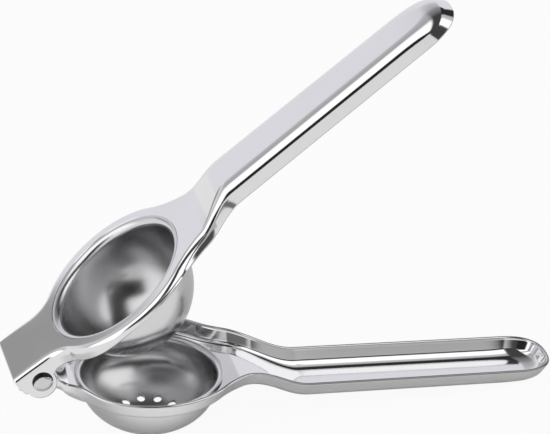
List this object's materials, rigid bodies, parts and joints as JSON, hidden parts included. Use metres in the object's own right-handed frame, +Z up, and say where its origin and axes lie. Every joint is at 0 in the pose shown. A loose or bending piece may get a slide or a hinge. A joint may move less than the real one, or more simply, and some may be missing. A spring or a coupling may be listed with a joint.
{
  "type": "citrus squeezer",
  "caption": "Hinged hand press for citrus halves: two stamped steel arms on a riveted hinge, one with a domed press cup, one with a perforated strainer cup.",
  "frame": {"origin": "on the table, under the centre of the part's box, with the squeezer open as stored", "axes": "+X from the hinge to the handle tips, +Y along the hinge pin, +Z up"},
  "size_m": [0.2208, 0.072, 0.1682],
  "materials": {
    "polished_arm": "polished stainless steel sheet",
    "polished_cup": "polished drawn stainless steel",
    "rivet_steel": "plain stainless steel rivet"
  },
  "bodies": {
    "lower": {"lower_arm": "polished_arm", "strainer_cup": "polished_cup"},
    "upper": {"upper_arm": "polished_arm", "press_cup": "polished_cup", "hinge_pin": "rivet_steel"}
  },
  "joints": [
    {"name": "squeeze_hinge", "type": "hinge", "parent": "lower", "child": "upper", "pos_m": [-0.09876, 0, 0.03416], "axis": [0, -1, 0], "range_deg": [-41.6, 20.9]}
  ]
}
